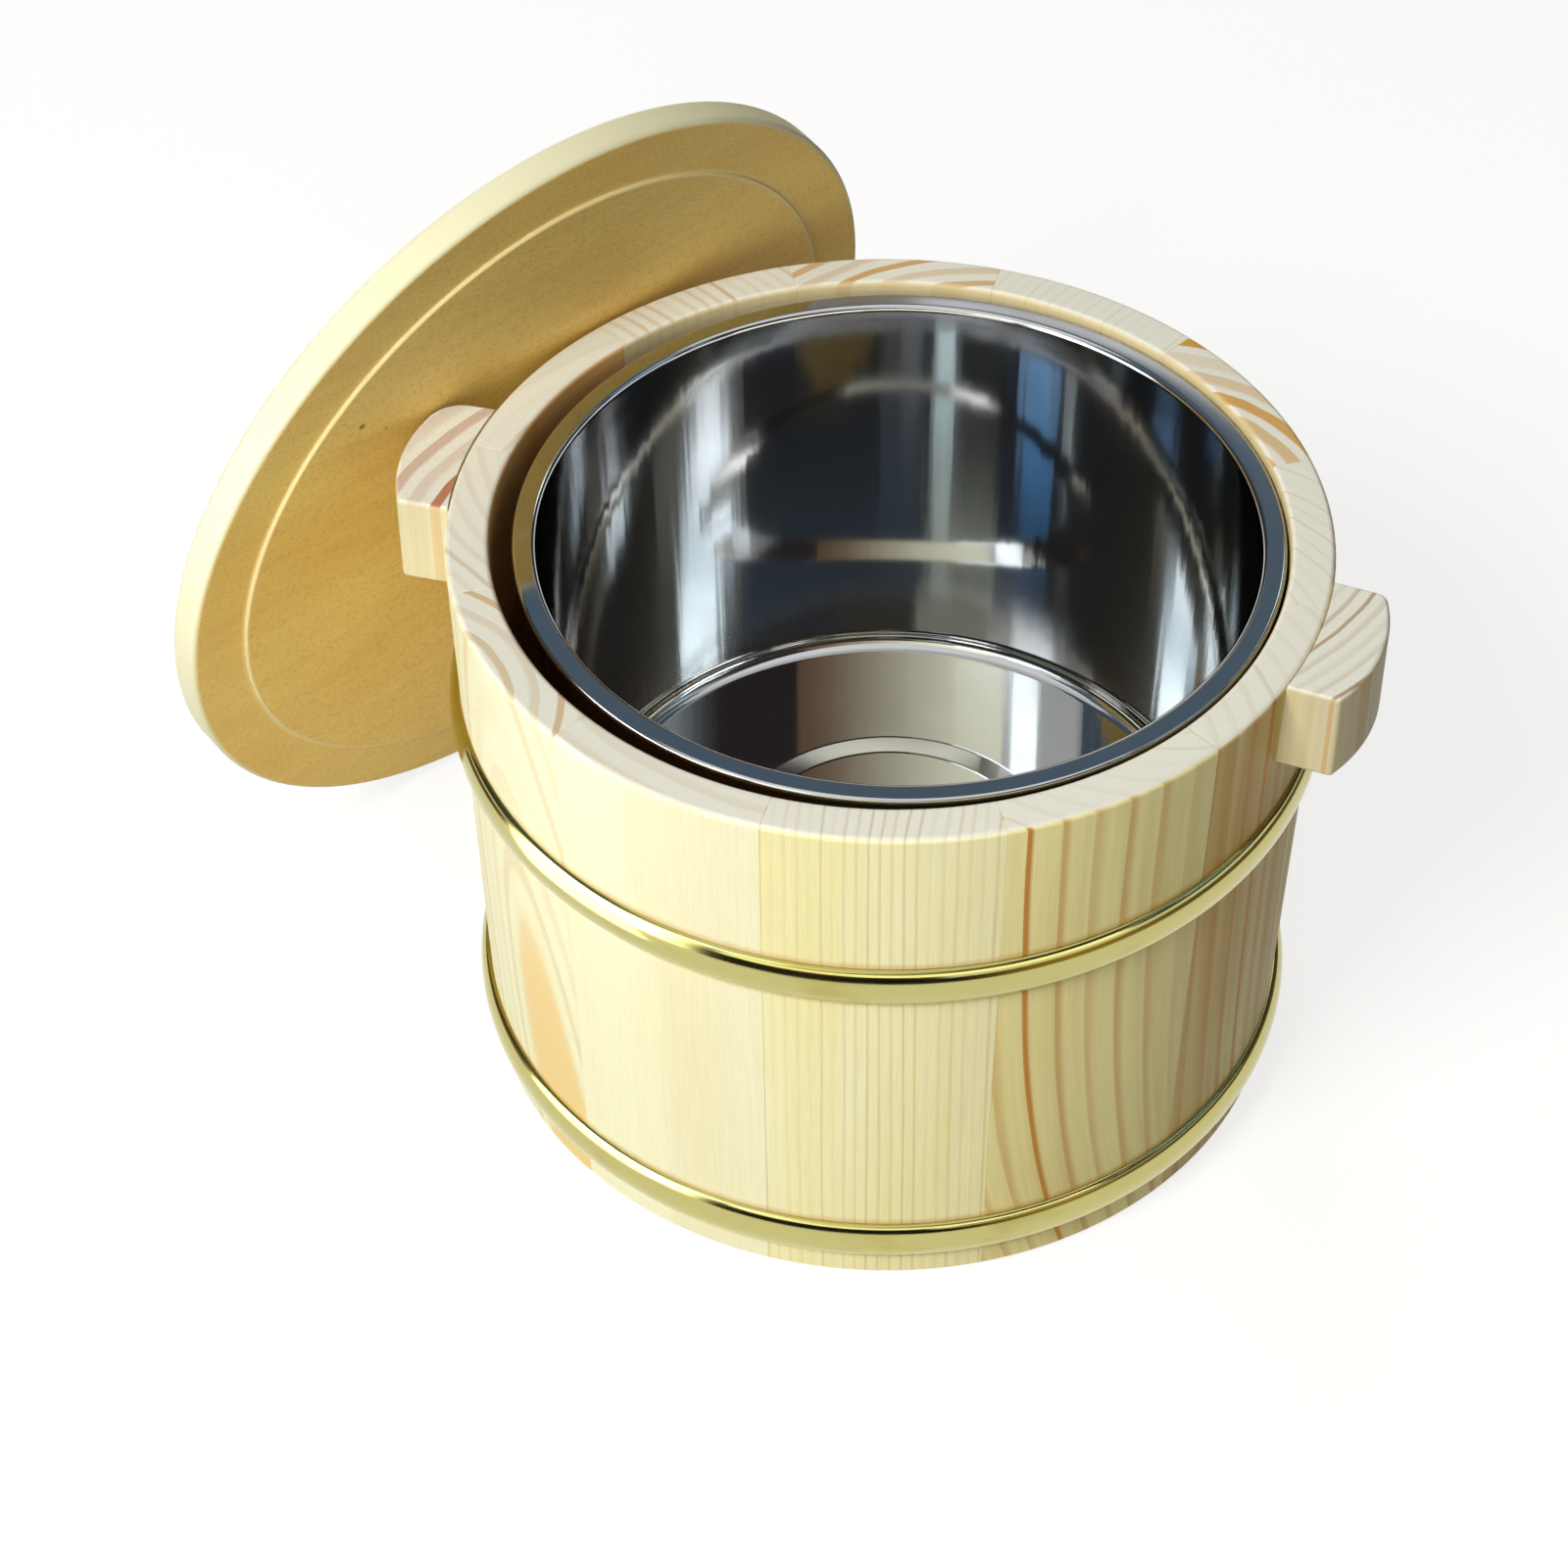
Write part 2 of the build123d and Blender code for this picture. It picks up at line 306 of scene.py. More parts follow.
class Nodes:
    """Short calls for the nodes of one tree."""

    def __init__(self, tree):
        self.tree = tree

    def node(self, kind, inputs=None, **settings):
        made = self.tree.nodes.new("ShaderNode" + kind)
        for key, value in settings.items():
            setattr(made, key, value)
        for key, value in (inputs or {}).items():
            self.set(made.inputs[key], value)
        return made

    def set(self, socket, value):
        if isinstance(value, bpy.types.NodeSocket):
            self.tree.links.new(value, socket)
        else:
            socket.default_value = value

    def math(self, operation, *values):
        return self.node("Math", dict(enumerate(values)), operation=operation).outputs[0]

    def vector(self, operation, *values):
        made = self.node("VectorMath", dict(enumerate(values)), operation=operation)
        return made.outputs["Value" if operation in ("LENGTH", "DISTANCE", "DOT_PRODUCT") else "Vector"]

    def axes(self, vector):
        return self.node("SeparateXYZ", {0: vector}).outputs[:3]

    def joined(self, x, y, z):
        return self.node("CombineXYZ", {0: x, 1: y, 2: z}).outputs[0]

    def reach(self, x, y):
        """Distance from an axis."""
        return self.math("SQRT", self.math("MULTIPLY_ADD", x, x, self.math("MULTIPLY", y, y)))

    def noise(self, vector, scale, detail=2.0, roughness=0.5):
        """Cloudy grey about 0.5. The scale is in waves per metre along each axis."""
        stretched = self.vector("MULTIPLY", vector, scale)
        inputs = {"Vector": stretched, "Scale": 1.0, "Detail": detail, "Roughness": roughness}
        return self.node("TexNoise", inputs).outputs["Fac"]

    def swing(self, noise, size, about=0.0):
        """Noise about 0.5, made a swing of a size about another value."""
        return self.math("MULTIPLY_ADD", self.math("SUBTRACT", noise, 0.5), size, about)

    def spread(self, value, start, end, low=0.0, high=1.0):
        inputs = {0: value, 1: start, 2: end, 3: low, 4: high}
        return self.node("MapRange", inputs, interpolation_type="SMOOTHSTEP").outputs[0]

    def mix(self, factor, first, second, blend="MIX"):
        made = self.node("Mix", {0: factor, 6: first, 7: second}, data_type="RGBA", blend_type=blend)
        return made.outputs[2]

    def seen(self):
        """1 where the camera, a reflection or a clear piece looks, and 0 where only light falls."""
        light = self.node("LightPath").outputs
        mirrored = self.math("MAXIMUM", light["Is Glossy Ray"], light["Is Transmission Ray"])
        return self.math("MAXIMUM", light["Is Camera Ray"], mirrored)


class Finish(Nodes):
    """One finish: a material with its shader and the places that its patterns are measured from."""

    def __init__(self, name):
        self.material = bpy.data.materials.new(name)
        self.material.use_nodes = True
        super().__init__(self.material.node_tree)
        self.shader = self.tree.nodes["Principled BSDF"]
        self.place = self.node("TexCoord").outputs["Object"]

    def turned(self, place, turn):
        """Object coordinates in a frame of its own: measured from a place, along axes turned from the model's."""
        inputs = {"Vector": self.place, "Location": place, "Rotation": turn}
        return self.node("Mapping", inputs, vector_type="TEXTURE").outputs[0]

    def bump(self, height, distance, strength=1.0, under=None):
        inputs = {"Height": height, "Distance": distance, "Strength": strength}
        if under is not None:
            inputs["Normal"] = under
        return self.node("Bump", inputs).outputs[0]

    def shade(self, **sockets):
        for name, value in sockets.items():
            self.set(self.shader.inputs[name.replace("_", " ")], value)
        return self.material


# How a piece was cut from its tree. The pith is given in mm outwards and to the right of the piece's middle, at a
# height; the tree's lean in degrees outwards and to the right, and its sweep to the right at the foot in mm; then
# the ring width in mm, the ground tone from 0, pale, through 1, yellow, to 2, tan, how strong the rings' lines are
# along the sides, and how amber they are on the sawn ends.
Cut = namedtuple("Cut", "out right height lean_out lean_right sweep ring tone lines amber seed")

PALE = srgb(249, 247, 210)
YELLOW = srgb(244, 235, 170)
TAN = srgb(195, 157, 68)
AMBER = srgb(196, 136, 48)
FLAME = srgb(244, 214, 146)
END_PALE = srgb(234, 234, 223)
END_GREY = srgb(208, 198, 176)
END_AMBER = srgb(208, 160, 66)
# Inner skin: tan on most staves. On the left staves, staves 6 to 9, a browner copy is painted shade for the gap
# beside the pot.
INNER_TAN = srgb(206, 188, 146)
INNER_SHADE_BROWN = srgb(216, 150, 62)
SHADED_INNER_STAVES = range(6, 10)
RING_WANDER = 3 * MM
GRAIN_RELIEF = 0.05 * MM
# Soft edges, from where a colour begins to where it is full
HEARTWOOD = (11.5 * MM, 6.5 * MM)
# Painted contact shade: an amber band just above and below each hoop, where the hoop meets the wall.
HOOP_CONTACT_SHADE = (HOOP_HALF + 2.6 * MM, HOOP_HALF + 0.4 * MM)
INNER_SKIN = (1.4 * MM, 0.4 * MM)


class Pine(Finish):
    """Pine, as growth rings round a pith that leans: lines along the sides and arcs on the sawn ends."""

    def __init__(self, name, pith, turn, cut):
        super().__init__(name)
        self.cut = cut
        self.wood = self.turned(pith, turn)
        if cut.sweep:
            height = self.math("DIVIDE", self.axes(self.place)[2], TUB_HEIGHT)
            fall = self.math("POWER", self.math("SUBTRACT", 1.0, height), 3.0)
            aside = self.math("MULTIPLY", fall, -cut.sweep * MM)
            self.wood = self.vector("ADD", self.wood, self.joined(0.0, aside, 0.0))
        self.seeded = self.vector("ADD", self.wood, (cut.seed, cut.seed * 0.37, cut.seed * 0.71))
        self.from_pith = self.vector("LENGTH", self.vector("MULTIPLY", self.wood, (1, 1, 0)))
        wander = self.noise(self.seeded, (45, 45, 5), 2.5)
        rings = self.math("DIVIDE", self.swing(wander, RING_WANDER, self.from_pith), cut.ring * MM)
        year = self.math("ADD", self.math("FLOOR", rings), cut.seed)
        part = self.math("FRACT", rings)
        chance = self.node("TexWhiteNoise", {"W": year}, noise_dimensions="1D").outputs["Value"]
        early = self.math("MULTIPLY_ADD", chance, 0.35, 0.5 - 0.4 * cut.amber)
        darken = self.spread(part, early, 0.94 - 0.45 * cut.amber)
        end = self.spread(part, 0.95, 1.0, 1.0, 0.0)
        strength = self.math("MULTIPLY_ADD", self.math("POWER", chance, 1.5), 0.85, 0.15)
        self.late = self.math("MULTIPLY", self.math("MULTIPLY", darken, end), strength)
        self.streak = self.noise(self.seeded, (330, 330, 7), 3.0)
        self.fibre = self.noise(self.seeded, (2400, 2400, 60), 2.0)
        self.blotch = self.noise(self.seeded, (22, 22, 9), 2.0)
        upward = self.axes(self.node("TexCoord").outputs["Normal"])[2]
        self.sawn_end = self.spread(upward, 0.5, 0.85)

    def side(self, pale, yellow, tan, line):
        """Colour along the grain."""
        cut = self.cut
        tone = self.swing(self.streak, 0.7, self.swing(self.blotch, 0.9, cut.tone))
        ground = self.mix(self.spread(tone, 0.0, 1.0), pale, yellow)
        ground = self.mix(self.spread(tone, 1.0, 2.0), ground, tan)
        lined = self.mix(self.math("MULTIPLY", self.late, cut.lines), ground, line)
        hair = self.math("MULTIPLY_ADD", self.fibre, 0.16, 0.92)
        return self.mix(1.0, lined, self.joined(hair, hair, hair), "MULTIPLY")

    def ends(self, pale, line, strength):
        """Colour of the sawn ends."""
        pores = self.noise(self.seeded, (1500, 1500, 1500), 2.0)
        speckled = self.mix(self.spread(pores, 0.5, 0.85, 0.0, 0.2), pale, line)
        return self.mix(self.math("MULTIPLY", self.late, strength), speckled, line)

    def satin(self, colour):
        """The finished wood, sanded: ends rougher than sides, with the late wood standing a little proud."""
        gloss = self.math("MULTIPLY_ADD", self.streak, 0.16, 0.44)
        rough = self.math("MULTIPLY_ADD", self.sawn_end, 0.14, gloss)
        relief = self.math("MULTIPLY_ADD", self.late, 0.6, self.math("MULTIPLY", self.fibre, 0.5))
        normal = self.bump(relief, GRAIN_RELIEF, 0.6)
        return self.shade(Base_Color=colour, Roughness=rough, Normal=normal, Specular_IOR_Level=0.35)


def upright(middle, bearing, cut):
    """Where the pith of an upright piece lies, and how it is turned."""
    pith = middle + Euler((0, 0, bearing)).to_matrix() @ Vector((cut.out * MM, cut.right * MM, 0))
    pith.z = cut.height * MM
    return pith, Euler((radians(cut.lean_right), radians(cut.lean_out), bearing))


# Staves 11, 12 and 1 face away from the key lamp. Their tan tones are partly the wood's own amber and partly
# painted shade.
STAVE_CUTS = [
    Cut(-38, -32, 60, 1.0, 0.5, 0, 3.2, 1.50, 0.7, 0.15, 1.0),
    Cut(-46, -20, 60, 2.0, 0.5, 0, 5.0, 0.90, 0.6, 1.0, 2.0),
    Cut(-20, -110, 60, 0.4, 0.4, 0, 2.6, 0.50, 0.5, 0.1, 3.0),
    Cut(-55, -20, 60, 2.5, 0.8, 0, 4.6, 0.40, 0.6, 0.7, 4.0),
    Cut(-30, 90, 60, 0.6, 1.0, 0, 3.0, 0.50, 0.6, 0.5, 5.0),
    Cut(-80, 15, 60, 2.0, -0.6, 0, 5.0, 0.30, 0.5, 0.2, 6.0),
    Cut(-60, -30, 60, 1.2, 0.5, 0, 3.8, 0.25, 0.5, 0.4, 7.0),
    Cut(0, 12, 30, 15.0, 8.0, 0, 4.75, 0.20, 0.35, 0.5, 8.0),
    Cut(-75, 6, 60, 1.6, 0.4, 0, 5.4, 0.10, 0.25, 0.4, 9.0),
    Cut(-18, -150, 60, 0.3, 0.3, 0, 2.3, 0.60, 0.32, 0.3, 10.0),
    Cut(-42, 34, 60, 1.2, 0.6, 12, 4.4, 1.15, 1.5, 0.1, 11.0),
    Cut(-45, -50, 60, 1.5, 1.0, 6, 4.6, 1.62, 1.5, 0.2, 12.0),
]


def stave_pine(k, cut):
    """Pine of one stave: tanned inside and browner inside on the left staves as painted shade, with an amber band
    of painted contact shade along each hoop.
    """
    bearing = (k - 0.5) * STAVE_TURN
    middle = Vector((cos(bearing), sin(bearing), 0)) * (outside(TUB_HEIGHT / 2))
    pine = Pine(f"pine_stave_{k:02d}", *upright(middle, bearing, cut), cut)
    side = pine.side(PALE, YELLOW, TAN, AMBER)
    side = pine.mix(pine.spread(pine.from_pith, *HEARTWOOD), side, FLAME)
    x, y, z = pine.axes(pine.place)
    # Painted contact shade along each hoop, darker amber close to the hoop's edge.
    for height in (UPPER_HOOP, LOWER_HOOP):
        away = pine.math("ABSOLUTE", pine.math("SUBTRACT", z, height))
        ragged = pine.math("MULTIPLY_ADD", pine.streak, 1.2 * MM, away)
        side = pine.mix(pine.spread(ragged, *HOOP_CONTACT_SHADE, 0.0, 0.5), side, AMBER)
    slope = (RIM_RADIUS - FOOT_RADIUS) / TUB_HEIGHT
    depth = pine.math("SUBTRACT", pine.reach(x, y), pine.math("MULTIPLY_ADD", z, slope, FOOT_RADIUS - WALL))
    # The left staves' browner inner skin is painted shade.
    inner = INNER_SHADE_BROWN if k in SHADED_INNER_STAVES else INNER_TAN
    side = pine.mix(pine.spread(depth, *INNER_SKIN, 0.0, 0.8), side, inner)
    line = tuple(cut.amber * a + (1 - cut.amber) * g for a, g in zip(END_AMBER, END_GREY))
    ends = pine.ends(END_PALE, line, 0.4 + cut.amber)
    return pine.satin(pine.mix(pine.sawn_end, side, ends))


EAR_PALE = srgb(205, 195, 162)
EAR_BAND = srgb(178, 100, 46)
EAR_GREY = srgb(176, 152, 124)


def ear_pine(name, node, bearing, cut, line):
    """Pine of an ear, end grain up."""
    low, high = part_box(node)
    pine = Pine(name, *upright((low + high) / 2, bearing, cut), cut)
    side = pine.side(EAR_PALE, YELLOW, TAN, AMBER)
    ends = pine.ends(END_PALE, line, 1.0)
    return pine.satin(pine.mix(pine.sawn_end, side, ends))


LID_PALE = srgb(254, 223, 132)
LID_YELLOW = srgb(242, 200, 106)
LID_LINE = srgb(200, 150, 80)
LID_EDGE = srgb(240, 237, 200)
# Painted highlight: a pale ring along the edge of the plug's step.
LID_STEP_HIGHLIGHT = srgb(250, 238, 190)
LID_MARK = srgb(96, 62, 34)
MARK_LEVEL = 1.5 * MM
LID_MARKS = ((-52.4 * MM, 48.0 * MM, 1.2 * MM), (-46.0 * MM, 43.6 * MM, 0.9 * MM))


def lid_frame():
    """Where the lid's own frame lies: X level along it, Y up it, Z out of its underside."""
    turn = Euler((pi / 2 + LID_LEAN, 0, LID_BEARING - pi / 2))
    low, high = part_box("lid_board")
    out = turn.to_matrix() @ Vector((0, 0, 1))
    return (low + high) / 2 + out * LID_THICK / 2, turn


def lid_pine(name):
    """Pine of the lid, its grain level: tan and close-grained below, lined on top and pale round its edge."""
    centre, turn = lid_frame()
    level = turn.to_matrix()
    along = level @ Euler((0, pi / 2, 0)).to_matrix()
    cut = Cut(0, -18, -62, 0, 0, 0, 5.2, 0.45, 0.6, 0, 21)
    pine = Pine(name, centre + level @ Vector((0, cut.right, cut.height)) * MM, along.to_euler(), cut)
    lid = pine.turned(centre, turn)
    grain = pine.noise(lid, (30, 320, 320), 3.0)
    cloud = pine.noise(lid, (14, 30, 30), 2.0)
    speck = pine.noise(lid, (900, 1500, 1500), 2.0)
    tone = pine.math("MULTIPLY_ADD", grain, 0.3, pine.math("MULTIPLY", cloud, 0.7))
    colour = pine.mix(pine.spread(tone, 0.3, 0.75), LID_PALE, LID_YELLOW)
    colour = pine.mix(pine.spread(speck, 0.45, 0.75, 0.0, 0.35), colour, LID_LINE)
    x, y, z = pine.axes(lid)
    for right, up, radius in LID_MARKS:
        away = pine.vector("DISTANCE", lid, (right, up, MARK_LEVEL))
        colour = pine.mix(pine.spread(away, radius, radius * 0.5, 0.0, 0.85), colour, LID_MARK)
    reach = pine.reach(x, y)
    # Painted highlight: a pale ring along the edge of the plug's step, all the way round.
    beside = pine.math("ABSOLUTE", pine.math("SUBTRACT", reach, PLUG_RADIUS))
    colour = pine.mix(pine.spread(beside, 0.9 * MM, 0.4 * MM, 0.0, 0.6), colour, LID_STEP_HIGHLIGHT)
    colour = pine.mix(pine.spread(z, -3 * MM, -4 * MM), colour, pine.side(PALE, YELLOW, TAN, AMBER))
    colour = pine.mix(pine.spread(reach, LID_RADIUS - 1.3 * MM, LID_RADIUS - 0.5 * MM), colour, LID_EDGE)
    return pine.satin(colour)


def plain_pine(name, seed):
    cut = Cut(-40, 30, 20, 80, 0, 0, 3.4, 0.4, 0.6, 0, seed)
    pine = Pine(name, *upright(Vector((0, 0, 0)), 0, cut), cut)
    return pine.satin(pine.side(srgb(232, 208, 150), YELLOW, TAN, AMBER))


BRASS = srgb(194, 187, 122)
BRASS_DULL = srgb(176, 160, 86)


def polished_brass(name):
    brass = Finish(name)
    x, y, z = brass.axes(brass.place)
    band = brass.joined(brass.math("ARCTAN2", y, x), z, 0.0)
    rub = brass.noise(band, (14, 5200, 1), 3.0)
    smear = brass.noise(brass.place, (60, 60, 160), 2.0)
    colour = brass.mix(brass.spread(smear, 0.5, 0.8, 0.0, 0.5), BRASS, BRASS_DULL)
    rough = brass.math("MULTIPLY_ADD", smear, 0.10, brass.math("MULTIPLY_ADD", rub, 0.06, 0.06))
    normal = brass.bump(rub, 0.01 * MM, 0.25)
    return brass.shade(Base_Color=colour, Roughness=rough, Normal=normal, Metallic=1.0)


STEEL = srgb(198, 199, 200)
STEEL_DULL = srgb(192, 193, 194)
# The drawn wall lies from a radius outwards and up to a height, each with a soft edge.
DRAWN_FROM = (66 * MM, 70 * MM)
DRAWN_UP_TO = (127 * MM, 122 * MM)


def polished_steel(name):
    steel = Finish(name)
    shift = LINER_PLAY - LINER_GAP
    pot = steel.turned((shift * cos(LINER_BEARING), shift * sin(LINER_BEARING), 0), (0, 0, 0))
    x, y, z = steel.axes(pot)
    radius = steel.reach(x, y)
    spin = steel.joined(steel.math("ARCTAN2", y, x), steel.math("ADD", radius, z), 0.0)
    rub = steel.noise(spin, (1.5, 4200, 1), 3.0)
    drawn = steel.noise(spin, (26, 12, 1), 1.5)
    wall_only = steel.math("MULTIPLY", steel.spread(radius, *DRAWN_FROM), steel.spread(z, *DRAWN_UP_TO))
    drawn = steel.math("MULTIPLY", drawn, wall_only)
    smear = steel.noise(pot, (40, 40, 30), 3.0)
    colour = steel.mix(steel.spread(smear, 0.45, 0.75), STEEL, STEEL_DULL)
    rough = steel.math("MULTIPLY_ADD", smear, 0.07, steel.math("MULTIPLY_ADD", rub, 0.03, 0.028))
    normal = steel.bump(rub, 0.004 * MM, 0.1, steel.bump(drawn, 0.25 * MM, 0.12))
    return steel.shade(Base_Color=colour, Roughness=rough, Normal=normal, Metallic=1.0)


# The object

def dress(piece, material, body, slot, *nodes):
    piece.data.materials.clear()
    piece.data.materials.append(material)
    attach(piece, body)
    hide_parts(*nodes)


def paint(node, material):
    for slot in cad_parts[node].material_slots:
        slot.material = material


first = stave()
for k, cut in enumerate(STAVE_CUTS, 1):
    piece = copied(first, f"pine_stave_{k:02d}", (k - 1) * STAVE_TURN)
    dress(piece, stave_pine(k, cut), "tub", "pine_wall", f"stave_{k:02d}")
bpy.data.objects.remove(first)

brass = polished_brass("polished_brass")
dress(hoop("brass_upper_hoop", UPPER_HOOP), brass, "tub", "brass_hoop", "upper_hoop")
dress(hoop("brass_lower_hoop", LOWER_HOOP), brass, "tub", "brass_hoop", "lower_hoop")
dress(liner(), polished_steel("polished_steel"), "liner", "steel_liner", "liner")

RIGHT_EAR_BEARING = radians(-4.9)
LEFT_EAR_BEARING = radians(182.6)
RIGHT_EAR_CUT = Cut(-85, 35, 110, 0.3, 0.3, 0, 3.2, 0.30, 0.5, 0.4, 31)
LEFT_EAR_CUT = Cut(-60, 22, 110, 0.3, 0.3, 0, 5.2, 0.20, 0.4, 0.75, 33)
paint("right_ear", ear_pine("pine_right_ear", "right_ear", RIGHT_EAR_BEARING, RIGHT_EAR_CUT, EAR_GREY))
paint("left_ear", ear_pine("pine_left_ear", "left_ear", LEFT_EAR_BEARING, LEFT_EAR_CUT, EAR_BAND))
lid = lid_pine("pine_lid")
paint("lid_board", lid)
paint("lid_handle", lid)
bottom = plain_pine("pine_bottom", 41)
for n in (1, 2, 3):
    paint(f"bottom_plank_{n}", bottom)
peg = plain_pine("peg_wood", 43)
for node in ("stave_pegs", "bottom_pegs", "ear_dowels", "handle_dowels"):
    paint(node, peg)


# Studio, in metres. The floor's glow rises between two distances, from one strength to another.

FLOOR_SIZE = 60
FLOOR_GREY = (0.27, 0.27, 0.27, 1.0)
FLOOR_GLOW = (0.4, 2.4, 0.78, 0.97)
AIR_LIGHT = 0.155
WARM_AIR = (1.0, 0.92, 0.76, 1.0)
WHITE = (1.0, 1.0, 1.0, 1.0)
BLACK = (0.0, 0.0, 0.0, 1.0)
SCREEN_STEPS = 32
ROOM_WALL = 3.6
BEFORE_WALL = 3.5
WINDOW = 0.9
CARDS = 0.45


def floor():
    """Pale floor that takes shadows. Where it is seen it also glows, more so further off, with no edge in sight."""
    deselect()
    bpy.ops.mesh.primitive_plane_add(size=FLOOR_SIZE)
    piece = bpy.context.active_object
    piece.name = "studio_floor"
    finish = Finish("pale_floor")
    away = finish.vector("LENGTH", finish.place)
    glow = finish.math("MULTIPLY", finish.seen(), finish.spread(away, *FLOOR_GLOW))
    finish.shade(Base_Color=FLOOR_GREY, Roughness=1.0, Specular_IOR_Level=0.0)
    finish.shade(Emission_Color=WHITE, Emission_Strength=glow)
    piece.data.materials.append(finish.material)


def screen(name, start, end, distance, foot, head, tint, far_tint=None):
    """A curved screen round the stage, from one bearing to another, that only reflections see."""
    first = radians(start)
    piece = single_point(name, (distance * cos(first), distance * sin(first), foot))
    bpy.ops.mesh.extrude_region_move(TRANSFORM_OT_translate={"value": (0, 0, head - foot)})
    bpy.ops.mesh.select_all(action="SELECT")
    bpy.ops.mesh.spin(steps=SCREEN_STEPS, angle=radians(start - end), center=(0, 0, 0), axis=(0, 0, 1))
    bpy.ops.object.mode_set(mode="OBJECT")
    finish = Finish(name)
    colour = (*tint, 1)
    if far_tint:
        x, y, z = finish.axes(finish.place)
        along = finish.spread(finish.math("ARCTAN2", y, x), radians(start), radians(end))
        colour = finish.mix(along, colour, (*far_tint, 1))
    finish.shade(Base_Color=BLACK, Roughness=1.0, Specular_IOR_Level=0.0)
    finish.shade(Emission_Color=colour, Emission_Strength=1.0)
    piece.data.materials.append(finish.material)
    piece.visible_camera = piece.visible_diffuse = False
    piece.visible_transmission = piece.visible_shadow = False


def wall_screen(name, start, end, low, high, tint, far_tint=None, distance=ROOM_WALL):
    """A screen far off, from one rise above the rim to another."""
    foot, head = (TUB_HEIGHT + distance * tan(radians(rise)) for rise in (low, high))
    screen(name, start, end, distance, foot, head, tint, far_tint)


def softbox(name, bearing, rise, distance, size, power, colour):
    """A square lamp that faces the tub."""
    lamp = bpy.data.lights.new(name, "AREA")
    lamp.shape = "SQUARE"
    lamp.size = size
    lamp.energy = power
    lamp.color = colour
    held = bpy.data.objects.new(name, lamp)
    aim = Vector((0, 0, TUB_HEIGHT / 2))
    way = Vector((cos(rise) * cos(bearing), cos(rise) * sin(bearing), sin(rise)))
    held.location = aim + way * distance
    held.rotation_euler = (-way).to_track_quat("-Z", "Y").to_euler()
    held.visible_camera = held.visible_glossy = False
    bpy.context.scene.collection.objects.link(held)


def studio_air():
    """Soft warm light from all round, white where it is seen."""
    world = bpy.data.worlds.new("studio_air")
    bpy.context.scene.world = world
    world.use_nodes = True
    air = Nodes(world.node_tree)
    back = air.tree.nodes["Background"].inputs
    seen = air.seen()
    air.set(back["Color"], air.mix(seen, WARM_AIR, WHITE))
    air.set(back["Strength"], air.spread(seen, 0.0, 1.0, AIR_LIGHT, 1.0))


def camera():
    lens = bpy.data.cameras.new("photo_camera")
    lens.lens = EYE_LENS
    lens.sensor_width = 36
    held = bpy.data.objects.new("photo_camera", lens)
    held.location = EYE
    turn = (AIM - EYE).to_track_quat("-Z", "Y")
    held.rotation_mode = "QUATERNION"
    held.rotation_quaternion = turn @ Euler((0, 0, EYE_ROLL)).to_quaternion()
    bpy.context.scene.collection.objects.link(held)
    bpy.context.scene.camera = held


floor()
# What the pot mirrors: bearings and rises in degrees
NIGHT = (0.05, 0.051, 0.054)
SLATE = (0.105, 0.15, 0.2)
wall_screen("back_low", 28, 92, 12, 37.9, NIGHT)
wall_screen("back_beige", 104.5, 118, 12, 37.9, (0.34, 0.29, 0.22))
wall_screen("back_left_low", 118, 210, 12, 37.9, NIGHT)
wall_screen("back_middle", 28, 210, 37.9, 40.7, NIGHT)
wall_screen("back_high", 28, 210, 40.7, 62, SLATE)
wall_screen("flange_light", 92, 118, 38.3, 47, SLATE, distance=BEFORE_WALL)
wall_screen("back_strip_low", 71, 84, 36, 39, (2.6, 3.1, 3.1), distance=BEFORE_WALL)
wall_screen("back_strip_high", 72, 83, 39, 41.2, (1.1, 1.35, 1.3), distance=BEFORE_WALL)
wall_screen("back_glow", 42, 86, 41.2, 42.6, (1.7, 1.7, 1.3), distance=BEFORE_WALL)
wall_screen("back_floor", 92, 104.5, 12, 36.3, (0.03, 0.022, 0.018))
wall_screen("right_low", -55, 28, 20, 41.2, NIGHT)
wall_screen("right_middle", -58, 28, 41.2, 44.5, (0.06, 0.055, 0.045))
wall_screen("right_high", -38, -5, 44.5, 62, (0.045, 0.035, 0.035))
wall_screen("right_far", -5, 28, 44.5, 62, (0.06, 0.06, 0.065), (0.6, 0.66, 0.66))
wall_screen("right_light", -10, -3, 38.3, 39.6, (2.6, 2.9, 2.9), distance=BEFORE_WALL)
wall_screen("blue_low", 3, 30, 36, 38.5, (0.9, 1.6, 2.5), distance=BEFORE_WALL)
wall_screen("blue_high", 6, 25, 38.5, 40.6, (0.14, 0.55, 1.2), distance=BEFORE_WALL)
wall_screen("front_middle", -82, -55, 30, 41, (0.065, 0.06, 0.045))
wall_screen("front_left", -117, -82, 30, 41, (0.42, 0.4, 0.32))
wall_screen("front_brown", -121, -55, 40.9, 44.5, (0.2, 0.18, 0.15), (0.06, 0.055, 0.04))
wall_screen("front_tan", -117, -38, 44.5, 62, (1.75, 1.72, 1.3), (0.28, 0.17, 0.1))
wall_screen("left_low", -160, -133, 30, 38.5, NIGHT)
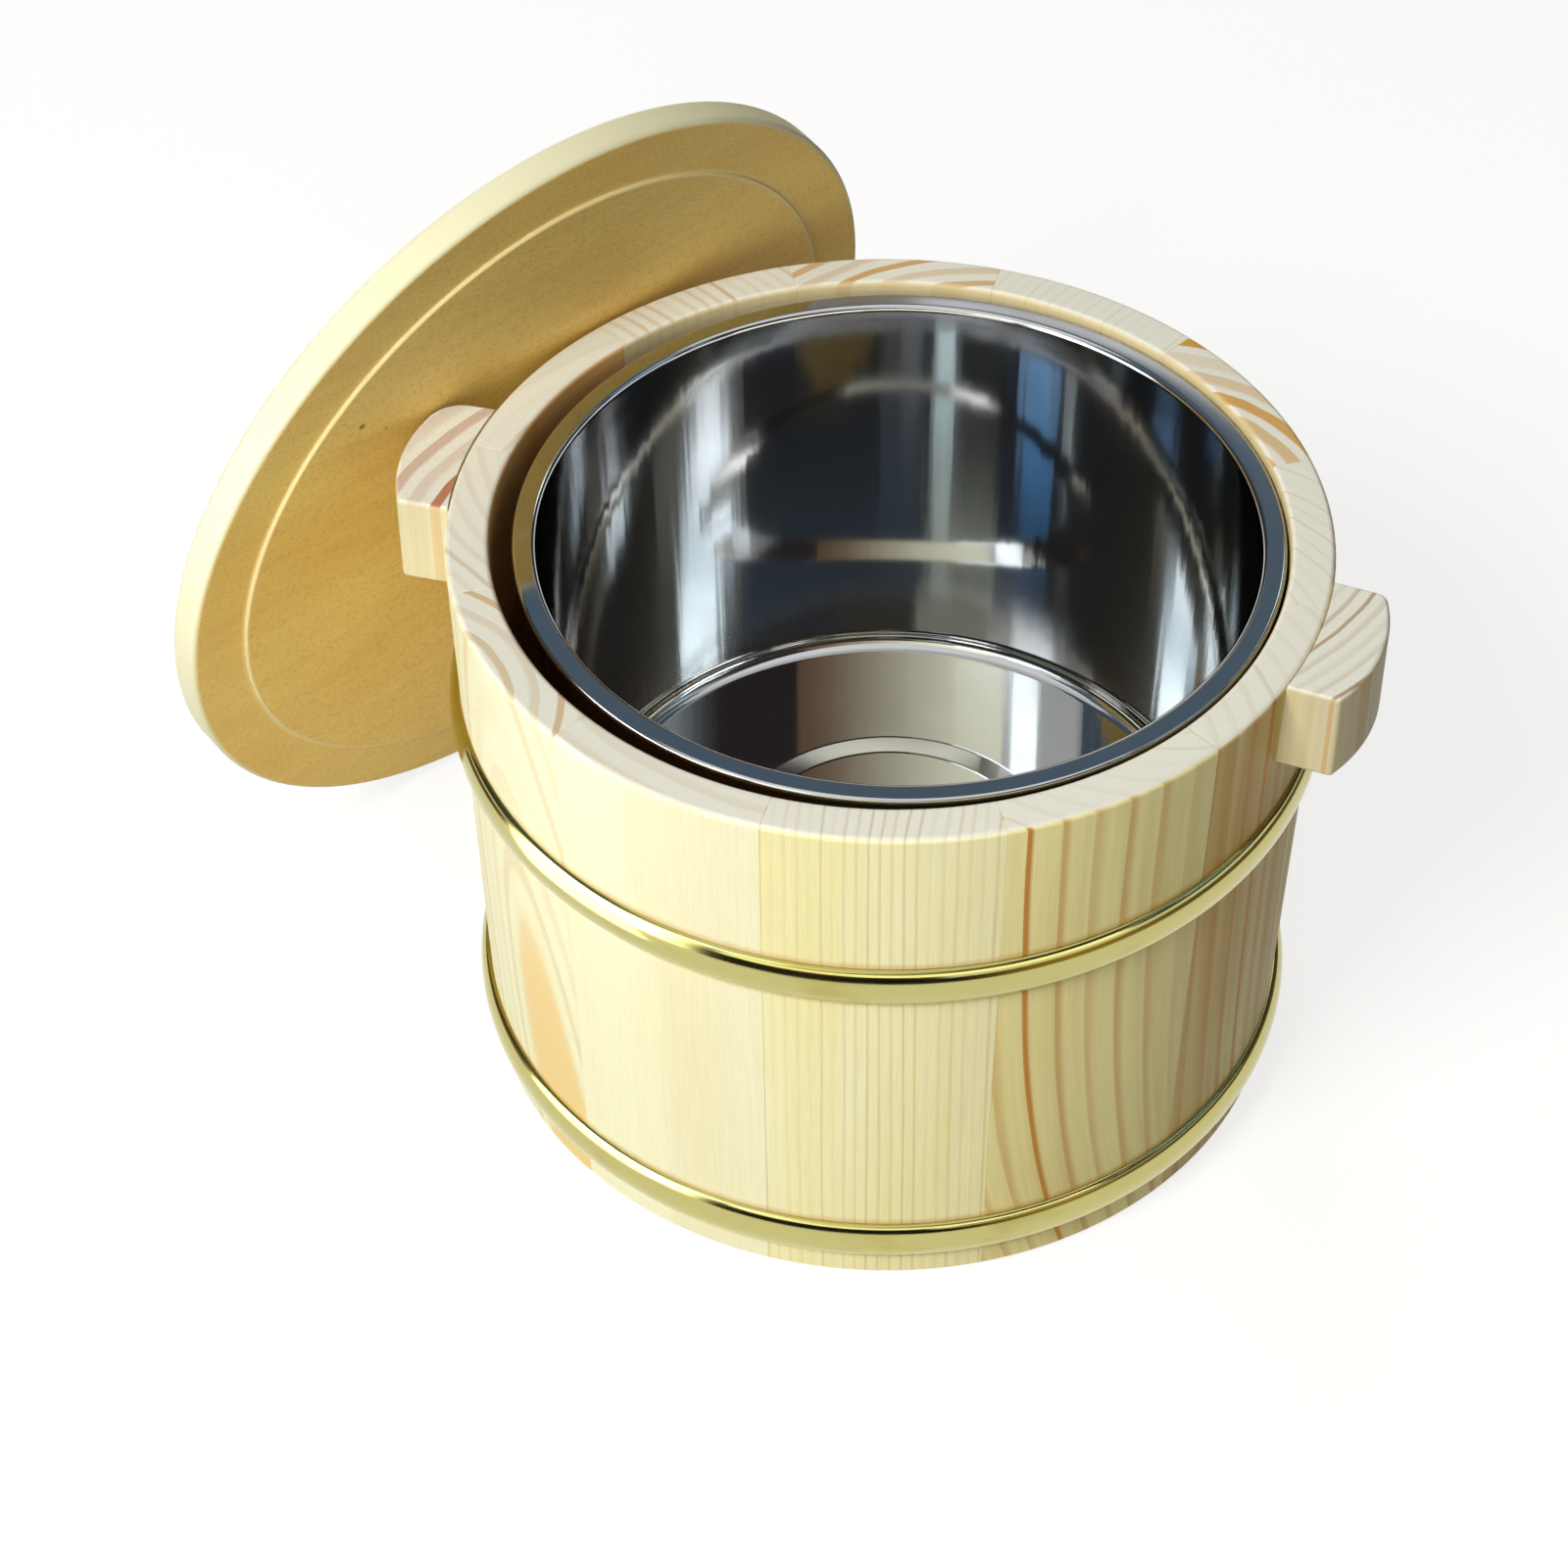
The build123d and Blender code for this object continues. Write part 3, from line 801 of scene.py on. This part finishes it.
wall_screen("left_side", -160, -121, 38.5, 41.3, (0.8, 0.75, 0.64))
wall_screen("left_middle", -160, -121, 41.3, 45, (0.16, 0.15, 0.13))
wall_screen("left_high", -165, -133, 45, 62, (0.92, 0.93, 0.9))
# The window, nearer than the walls of the room
screen("window_foot", -133, -117, WINDOW, 0.812, 0.845, (5.2, 5.4, 5.4))
screen("window_pane", -140, -108, WINDOW, 0.845, 0.89, (6.2, 6.6, 6.7))
screen("window_bar", -143, -98, WINDOW, 0.89, 0.95, (1.9, 2.3, 2.5))
screen("window_upper_pane", -130, -98.5, WINDOW, 0.95, 1.02, (6.0, 6.7, 6.9))
screen("window_head", -132.5, -121.5, WINDOW, 1.058, 1.26, (3.4, 3.6, 3.6))
# Near cards that the hoops mirror and the rim hides from the pot
DUSK = (0.006, 0.005, 0.003)
LAMP = (9.0, 8.8, 8.2)
GOLD = (0.40, 0.26, 0.03)
UMBER = (0.14, 0.1, 0.05)
screen("card_light_left", -165, -152, CARDS, 0, 0.372, UMBER, LAMP)
screen("card_light", -152, -130, CARDS, 0, 0.372, LAMP)
screen("card_light_right", -130, -110, CARDS, 0, 0.372, LAMP, DUSK)
screen("card_light_low", -153, -122, 0.2, 0, 0.1, (4.5, 4.4, 4.1))
screen("card_front", -110, -62, CARDS, 0, 0.22, DUSK)
screen("card_cream", -110, -20, CARDS, 0.22, 0.372, (2.0, 1.95, 1.6))
screen("card_amber", -62, -34, CARDS, 0, 0.13, DUSK, GOLD)
screen("card_right", -34, -4, CARDS, 0, 0.13, GOLD, UMBER)
screen("card_round", -4, 195, CARDS, 0, 0.13, UMBER)
softbox("key_softbox", radians(-113), radians(45), 1.55, 0.55, 20.8, (1.0, 0.99, 0.96))
softbox("back_softbox", radians(118), radians(15), 2.0, 0.8, 14.0, (1.0, 0.98, 0.94))
softbox("front_softbox", radians(-86), radians(16), 1.6, 0.6, 5.2, (1.0, 0.95, 0.82))
studio_air()
camera()
bpy.context.scene.view_settings.view_transform = "Standard"
